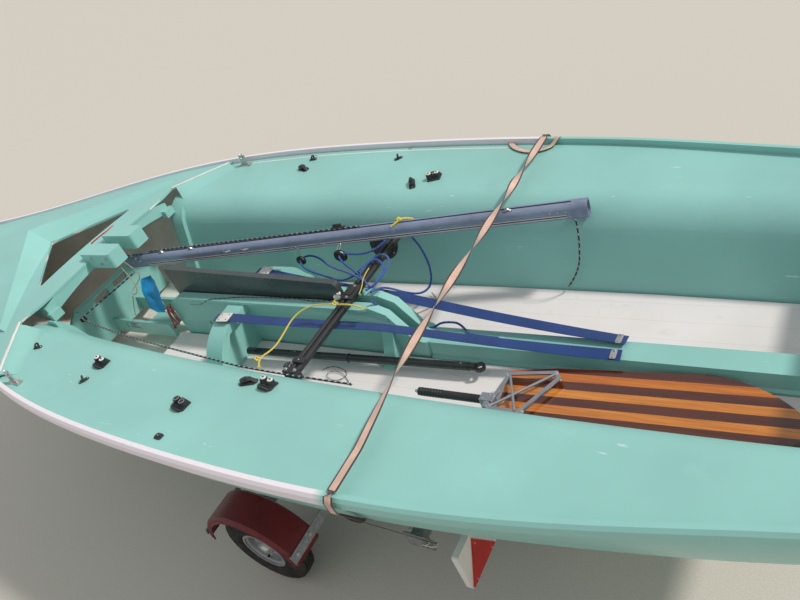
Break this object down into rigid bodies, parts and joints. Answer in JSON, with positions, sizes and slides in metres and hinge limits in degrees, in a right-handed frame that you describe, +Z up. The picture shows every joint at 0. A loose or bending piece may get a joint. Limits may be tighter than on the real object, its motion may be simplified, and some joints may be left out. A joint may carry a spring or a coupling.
{
  "type": "two-person racing sailing dinghy on its road trailer",
  "caption": "Open racing dinghy with rolled side tanks, raised centreboard and stowed boom and rudder, standing on a galvanised road trailer with red mudguards.",
  "frame": {"origin": "on the ground, midway between the transom and the tip of the coupling, on the centre plane", "axes": "+X forward to the bow and coupling, +Y to port, +Z up"},
  "size_m": [5.499, 1.9396, 1.293],
  "materials": {
    "mint_gelcoat": "semi-gloss aged gelcoat",
    "hull_gelcoat": "semi-gloss gelcoat",
    "white_paint": "worn satin",
    "wood_striped": "varnished",
    "anodised": "anodised, weathered",
    "bare_aluminium": "satin",
    "stainless": "satin",
    "black_gloss": "gloss",
    "black_matte": "matte",
    "white_plastic": "matte",
    "navy_webbing": "woven",
    "strap_webbing": "woven, striped",
    "galvanised": "galvanised, dull",
    "red_plastic": "satin",
    "red_lens": "gloss",
    "rubber_black": "matte",
    "tyre_black": "matte",
    "rim_paint": "satin",
    "plate_blank": "satin",
    "rope_blue": "braided",
    "rope_pale": "braided",
    "rope_dark": "braided",
    "rope_yellow": "braided",
    "rope_red": "braided",
    "azure_cloth": "light woven cloth",
    "raw_laminate": "unpainted, rough"
  },
  "bodies": {
    "boat_and_trailer": {"hull_shell": "hull_gelcoat", "side_tank_port": "mint_gelcoat", "side_tank_starboard": "mint_gelcoat", "foredeck": "mint_gelcoat", "mast_gate_beam": "mint_gelcoat", "strake_port": "hull_gelcoat", "strake_starboard": "hull_gelcoat", "mudguard_port": "red_plastic", "mudguard_starboard": "red_plastic", "deck_fittings_port": "black_matte", "deck_fittings_starboard": "black_matte", "cockpit_floor": "white_paint", "centre_spine": "mint_gelcoat", "centreboard_trunk": "mint_gelcoat", "centreboard_pin": "stainless", "forward_frames": "mint_gelcoat", "aft_knees": "mint_gelcoat", "mast_step_frame": "mint_gelcoat", "transom": "mint_gelcoat", "rudder_gudgeons": "stainless", "shroud_plates": "stainless", "bow_fitting": "stainless", "inspection_hatch": "black_matte", "traveller_bar": "black_matte", "traveller_ends": "white_plastic", "boom_tube": "anodised", "boom_ends": "black_matte", "spinnaker_pole": "black_gloss", "rudder_blade": "wood_striped", "rudder_stock": "bare_aluminium", "tiller": "black_gloss", "toe_straps": "navy_webbing", "tie_down_strap": "strap_webbing", "trailer_chassis": "galvanised", "trailer_cross_member": "galvanised", "axle_beam": "galvanised", "axle_arms": "galvanised", "hull_rollers": "rubber_black", "roller_brackets": "galvanised", "mudguard_stays": "galvanised", "lamp_board": "white_plastic", "tail_lamps": "red_lens", "reflectors": "red_lens", "number_plate": "plate_blank", "coupling_head": "galvanised", "jockey_tubes": "galvanised", "jockey_crank": "galvanised", "bow_post": "galvanised", "bow_chock": "rubber_black"},
    "wheel_port": {"tyre_port": "tyre_black", "wheel_rim_port": "rim_paint"},
    "wheel_starboard": {"tyre_starboard": "tyre_black", "wheel_rim_starboard": "rim_paint"},
    "jockey_fork": {"jockey_fork": "galvanised"},
    "jockey_wheel": {"jockey_rim": "white_plastic", "jockey_tyre": "rubber_black"},
    "centreboard": {"centreboard": "black_gloss"},
    "flap_port": {"transom_flap_port": "mint_gelcoat"},
    "flap_starboard": {"transom_flap_starboard": "mint_gelcoat"}
  },
  "joints": [
    {"name": "wheel_port_spin", "type": "hinge", "parent": "boat_and_trailer", "child": "wheel_port", "pos_m": [-0.5825, 0.772, 0.205], "axis": [0, 1, 0], "continuous": true},
    {"name": "wheel_starboard_spin", "type": "hinge", "parent": "boat_and_trailer", "child": "wheel_starboard", "pos_m": [-0.5825, -0.772, 0.205], "axis": [0, 1, 0], "continuous": true},
    {"name": "jockey_swivel", "type": "hinge", "parent": "boat_and_trailer", "child": "jockey_fork", "pos_m": [2.1375, 0.082, 0.212], "axis": [0, 0, 1], "continuous": true},
    {"name": "jockey_wheel_spin", "type": "hinge", "parent": "jockey_fork", "child": "jockey_wheel", "pos_m": [2.1025, 0.082, 0.1], "axis": [0, 1, 0], "continuous": true},
    {"name": "centreboard_drop", "type": "hinge", "parent": "boat_and_trailer", "child": "centreboard", "pos_m": [0.0275, 0, 0.76], "axis": [0, -1, 0], "range_deg": [0, 30]},
    {"name": "flap_port_hinge", "type": "hinge", "parent": "boat_and_trailer", "child": "flap_port", "pos_m": [-2.7215, 0.25, 0.706], "axis": [0, -1, 0], "range_deg": [0, 80]},
    {"name": "flap_starboard_hinge", "type": "hinge", "parent": "boat_and_trailer", "child": "flap_starboard", "pos_m": [-2.7215, -0.25, 0.706], "axis": [0, -1, 0], "range_deg": [0, 80]}
  ]
}
